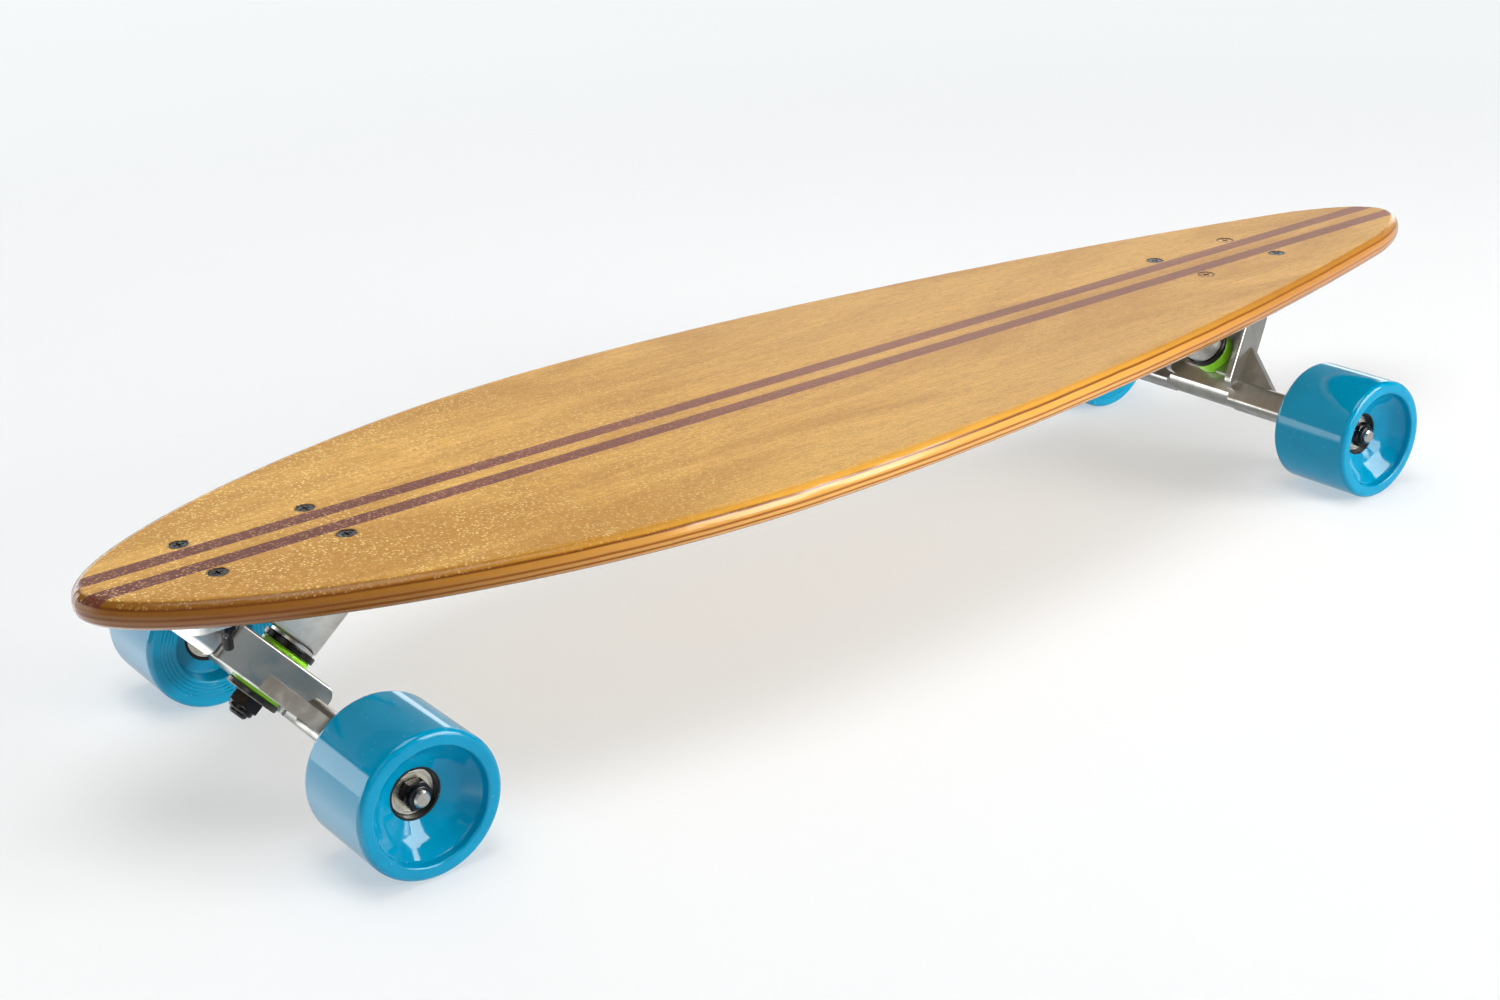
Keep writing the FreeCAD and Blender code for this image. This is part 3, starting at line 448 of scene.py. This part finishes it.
honey_veneer = veneer("honey_veneer", paint(231, 181, 94), paint(193, 140, 59),
                      paint(146, 97, 40), paint(255, 230, 156))
stripe_veneer = veneer("red_brown_stripe", paint(154, 96, 76), paint(128, 72, 57),
                       paint(74, 40, 31), paint(220, 168, 126), edge_top=0.83, nose_darkening=0.45)
under_veneer = veneer("underside_veneer", paint(214, 182, 134), paint(190, 152, 104),
                      paint(132, 100, 66))
amber_ply = veneer("amber_ply", paint(220, 152, 66), paint(186, 116, 44), paint(120, 68, 26),
                   across=1.6)
print("veneers:", [m.name for m in (honey_veneer, stripe_veneer, under_veneer, amber_ply)])

# %% [markdown]
# ## Handling marks and cast skin
# Used urethane and metal carry dust, hairline scratches and a mottled skin. Dust is another sparse
# Voronoi mask. A thin contour of a slow noise makes a curved hairline, and a second noise breaks it
# into short marks.

# %% Shared effect: dust and hairlines
handling, given, made = group("handling_marks", {"Dust Cells": 330.0, "Hair Scale": 46.0},
                              {"Dust": "Float", "Hairline": "Float"})
dusty_share = 0.14
place = surface(handling)
cells = add(handling, "TexVoronoi", {"Vector": place, "Scale": given["Dust Cells"]}).outputs
chance = add(handling, "SeparateColor", {0: cells["Color"]}).outputs
dusty_cell = calc(handling, "LESS_THAN", chance["Red"], dusty_share)
speck = times(handling, span(handling, cells["Distance"], 0.17, 0.08), dusty_cell)
contour = noise(handling, place, given["Hair Scale"], 1.0, 0.4)
off_line = calc(handling, "ABSOLUTE", calc(handling, "SUBTRACT", contour, 0.5))
line = span(handling, off_line, 0.0045, 0.001)
broken = span(handling, noise(handling, place, 75.0, 2.0), 0.58, 0.7)
handling.links.new(speck, made["Dust"])
handling.links.new(times(handling, line, broken), made["Hairline"])
print("group", handling.name)

# %% Shared effect: cast and worn metal skin
metal_skin, given, made = group("metal_skin", {"Scale": 1.0},
                                {"Mottle": "Float", "Fine": "Float"})
vector = add(metal_skin, "VectorMath", {0: surface(metal_skin), "Scale": given["Scale"]},
             operation="SCALE").outputs[0]
clouds = noise(metal_skin, vector, 85.0, 4.0, 0.6, 0.6)
metal_skin.links.new(span(metal_skin, clouds, 0.35, 0.72), made["Mottle"])
metal_skin.links.new(noise(metal_skin, vector, 900.0, 3.0, 0.6), made["Fine"])
print("group", metal_skin.name)

# %% [markdown]
# ## Metals
# The trucks are cast aluminium, the hangers polished and the base plates tumbled. The hardware is
# blackened steel, and axles and bearings are bright. One recipe serves them all: mottling stains
# the colour and dulls the polish, and a fine grain gives the skin a slight relief.

# %% Material recipe: metal
def metal(name, clean, stained, polish, dull, metallic=1.0, scale=1.0, relief=0.05):
    material, tree, shader = finish(name, metallic=metallic)
    skin = effect(tree, metal_skin, Scale=scale)
    hairline = times(tree, effect(tree, handling)["Hairline"], 0.5)
    colour = mixed(tree, times(tree, skin["Mottle"], 0.6), clean, stained)
    colour = mixed(tree, hairline, colour, paint(208, 208, 206))
    rough = span(tree, skin["Mottle"], 0.0, 1.0, polish, dull)
    rough = calc(tree, "ADD", rough, times(tree, skin["Fine"], 0.06))
    tree.links.new(colour, shader["Base Color"])
    tree.links.new(rough, shader["Roughness"])
    tree.links.new(bump(tree, skin["Fine"], relief, 0.0002), shader["Normal"])
    return material


polished_casting = metal("polished_casting", paint(178, 177, 173), paint(144, 142, 138),
                         0.27, 0.36)
tumbled_casting = metal("tumbled_casting", paint(232, 231, 227), paint(182, 181, 177),
                        0.3, 0.42, relief=0.12)
black_steel = metal("blackened_steel", paint(46, 46, 48), paint(70, 68, 66), 0.2, 0.38, 0.85, 2.0)
worn_steel = metal("worn_black_steel", paint(92, 91, 89), paint(46, 45, 45), 0.22, 0.38, 0.9, 2.0)
bright_steel = metal("bright_steel", paint(206, 204, 198), paint(168, 165, 158),
                     0.2, 0.34, scale=2.0)
bearing_steel = metal("ground_bearing_steel", paint(222, 220, 212), paint(196, 193, 184),
                      0.12, 0.2, scale=3.0)
cream_shield = metal("cream_shield", paint(232, 226, 206), paint(206, 198, 176),
                     0.22, 0.34, 0.8, 3.0)
brass_plate = metal("brass_plate", paint(206, 150, 66), paint(132, 86, 34), 0.24, 0.42, scale=3.0)
print("metals:", [m.name for m in (polished_casting, black_steel, bright_steel, brass_plate)])

# %% [markdown]
# ## Urethane, rubber and plastic
# Wheels and bushings are cast urethane: glossy and slightly soft to light. The blue is deep, so
# reflections and dust show on it. The lime bushings are the same stuff with less polish, and the
# hidden pads and cores are dull and black.

# %% Material recipe: urethane
def urethane(name, main, deep, polish, dull, dusty, soft):
    material, tree, shader = finish(name, subsurface_weight=soft, subsurface_scale=0.004,
                                    coat_weight=0.2, coat_roughness=0.04, ior=1.35)
    place = surface(tree)
    marks = effect(tree, handling)
    cloud = span(tree, noise(tree, place, 34.0, 3.0), 0.35, 0.7)
    smudge = span(tree, noise(tree, place, 120.0, 4.0, 0.65), 0.45, 0.75)
    worn = times(tree, calc(tree, "MAXIMUM", marks["Dust"], marks["Hairline"]), dusty)
    colour = mixed(tree, worn, mixed(tree, cloud, main, deep), paint(206, 226, 232))
    tree.links.new(colour, shader["Base Color"])
    tree.links.new(span(tree, smudge, 0.0, 1.0, polish, dull), shader["Roughness"])
    tree.links.new(bump(tree, smudge, 0.03, 0.0002), shader["Normal"])
    return material


blue_urethane = urethane("blue_urethane", paint(0, 145, 185), paint(0, 137, 177),
                         0.07, 0.13, 0.13, 0.05)
lime_urethane = urethane("lime_urethane", paint(170, 245, 58), paint(150, 232, 44),
                         0.28, 0.38, 0.15, 0.1)
cup_urethane = urethane("grey_cup_urethane", paint(62, 62, 64), paint(48, 48, 50),
                        0.4, 0.5, 0.1, 0.0)
black_rubber = urethane("black_rubber", paint(30, 30, 31), paint(22, 22, 23), 0.6, 0.75, 0.1, 0.0)
black_plastic = urethane("black_core_plastic", paint(18, 18, 20), paint(13, 13, 14),
                         0.38, 0.5, 0.15, 0.0)
print("urethanes:", blue_urethane.name, lime_urethane.name)

# %% [markdown]
# ## Dressing the frame
# Both trucks and all four wheels are built alike, so a finish belongs to a kind of piece and not to
# one node. The longest ending of a node's name that stands in the table gives its kind.

# %% Dress the CAD nodes
finishes = {
    "deck_top_veneer": honey_veneer, "deck_stripe_inlays": stripe_veneer,
    "deck_upper_ply": amber_ply, "deck_core_ply": amber_ply, "deck_lower_ply": amber_ply,
    "deck_bottom_veneer": under_veneer,
    "deck_bolts_black": black_steel, "deck_bolts_brass": brass_plate,
    "deck_bolt_nuts": black_steel,
    "riser_pad": black_rubber, "baseplate": tumbled_casting, "pivot_cup": cup_urethane,
    "kingpin": black_steel, "kingpin_nut": black_steel,
    "boardside_washer": black_steel, "roadside_washer": worn_steel,
    "boardside_bushing": lime_urethane, "roadside_bushing": lime_urethane,
    "hanger": polished_casting, "axle": bright_steel, "axle_nuts": black_steel,
    "speed_rings": black_steel, "bearing_spacers": bright_steel,
    "bearing_inner_rings": bearing_steel, "bearing_outer_rings": bearing_steel,
    "bearing_shields": cream_shield, "bearing_balls": bearing_steel,
    "tyre": blue_urethane, "core": black_plastic,
}
for name, thing in nodes.items():
    words = name.split("_")
    endings = ["_".join(words[start:]) for start in range(len(words))]
    kind = next(ending for ending in endings if ending in finishes)
    thing.data.materials.clear()
    thing.data.materials.append(finishes[kind])
print("dressed", len(nodes), "nodes")

# %% [markdown]
# ## Threads
# The deck bolts end in rolled threads that the CAD leaves as plain rods. A thread is one V section
# that is carried round the rod and forward by one pitch for each turn. The Screw modifier does
# exactly that from a small diamond, half of which stays inside the rod, and its two open ends are
# then filled.

# %% Thread helper
crest_share, sunk_share, turn_steps = 0.42, 0.12, 28


def settle(piece, direction, place):
    """Turn a piece from Z to a direction, move it, and put that place into its mesh."""
    turn = Vector(direction).to_track_quat("Z", "Y").to_matrix().to_4x4()
    piece.matrix_world = Matrix.Translation(place) @ turn
    bpy.ops.object.select_all(action="DESELECT")
    piece.select_set(True)
    bpy.context.view_layer.objects.active = piece
    bpy.ops.object.transform_apply(location=True, rotation=True, scale=True)


def thread(name, radius, pitch, length, place, direction, body, material):
    bpy.ops.object.select_all(action="DESELECT")
    bpy.ops.mesh.primitive_circle_add(vertices=4, radius=pitch * crest_share,
                                      location=(radius - pitch * sunk_share, 0, pitch / 2),
                                      rotation=(math.pi / 2, 0, 0))
    piece = bpy.context.object
    piece.name = name
    bpy.ops.object.transform_apply(location=True, rotation=True, scale=True)
    screw = piece.modifiers.new("turns", "SCREW")
    screw.axis, screw.screw_offset = "Z", pitch
    screw.iterations = max(1, int(length / pitch) - 1)
    screw.steps = screw.render_steps = turn_steps
    bpy.ops.object.modifier_apply(modifier=screw.name)
    bpy.ops.object.mode_set(mode="EDIT")
    bpy.ops.mesh.select_mode(type="EDGE")
    bpy.ops.mesh.select_all(action="SELECT")
    bpy.ops.mesh.fill_holes(sides=0)
    bpy.ops.mesh.select_all(action="SELECT")
    bpy.ops.mesh.normals_make_consistent(inside=False)
    bpy.ops.object.mode_set(mode="OBJECT")
    settle(piece, direction, place)
    piece.data.materials.append(material)
    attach(piece, body)
    return piece


print("thread helper ready")

# %% Threads on bolts
bolt_radius, bolt_pitch = 0.0024, 0.0008
bolt_end, nut_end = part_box("deck_bolts_black")[0].z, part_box("deck_bolt_nuts")[0].z
bolt_corners = ((-1, -1), (-1, 1), (1, -1), (1, 1))
brass_corners = (0, 3)
made_threads = []
for truck, middle in (("nose", nose_middle), ("tail", tail_middle)):
    for index, (sx, sy) in enumerate(bolt_corners):
        brassy = truck == "tail" and index in brass_corners
        slot, steel = ("brass_plating", brass_plate) if brassy else ("black_steel", black_steel)
        start = Vector((middle + sx * half_pattern[0], sy * half_pattern[1], nut_end))
        made_threads.append(thread(f"bolt_thread_{truck}_{index}", bolt_radius, bolt_pitch,
                                   nut_end - bolt_end, start, (0, 0, -1), "deck", steel))
print("threads:", len(made_threads), "faces each:", len(made_threads[0].data.polygons))

# %% [markdown]
# ## Shield clips
# A thin wire clip holds each outer shield in its bearing, and it is the bright ring that shows
# round the axle nut. It could be a torus, but the real clip is flat wire: a disc is inset on both
# faces, the two inner faces are bridged into a bore, and a small bevel rounds the wire. The face
# select mode is set first, because the threads leave edge selection behind.

# %% Flat ring helper
def flat_ring(name, inner, outer, thickness, bevel):
    bpy.ops.object.select_all(action="DESELECT")
    scene.tool_settings.mesh_select_mode = (False, False, True)
    bpy.ops.mesh.primitive_cylinder_add(vertices=72, radius=outer, depth=thickness)
    piece = bpy.context.object
    piece.name = name
    for face in piece.data.polygons:
        face.select = abs(face.normal.z) > 0.9
    bpy.ops.object.mode_set(mode="EDIT")
    bpy.ops.mesh.inset(thickness=outer - inner)
    bpy.ops.mesh.bridge_edge_loops()
    bpy.ops.mesh.select_all(action="SELECT")
    bpy.ops.mesh.normals_make_consistent(inside=False)
    bpy.ops.object.mode_set(mode="OBJECT")
    rounding = piece.modifiers.new("rounding", "BEVEL")
    rounding.width, rounding.segments, rounding.limit_method = bevel, 2, "ANGLE"
    bpy.ops.object.modifier_apply(modifier=rounding.name)
    bpy.ops.object.shade_smooth_by_angle(angle=math.radians(40))
    return piece


print("ring helper ready")

# %% Clip rings on the outer bearings
clip_inset, clip_gap, clip_thickness, clip_bevel = 0.0007, 0.00005, 0.0003, 0.00008
for truck in ("nose", "tail"):
    for side, way in (("left", -1), ("right", 1)):
        low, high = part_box(f"{truck}_{side}_bearing_shields")
        hub = (low + high) / 2
        face = high.y if way > 0 else low.y
        outer = (high.z - low.z) / 2
        clip = flat_ring(f"shield_clip_{truck}_{side}", outer - clip_inset, outer - clip_gap,
                         clip_thickness, clip_bevel)
        settle(clip, (0, way, 0), Vector((hub.x, face + way * clip_thickness / 2, hub.z)))
        clip.data.materials.append(bearing_steel)
        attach(clip, f"{truck}_{side}_wheel")
print("clip radius", round(outer * 1000, 2), "mm")
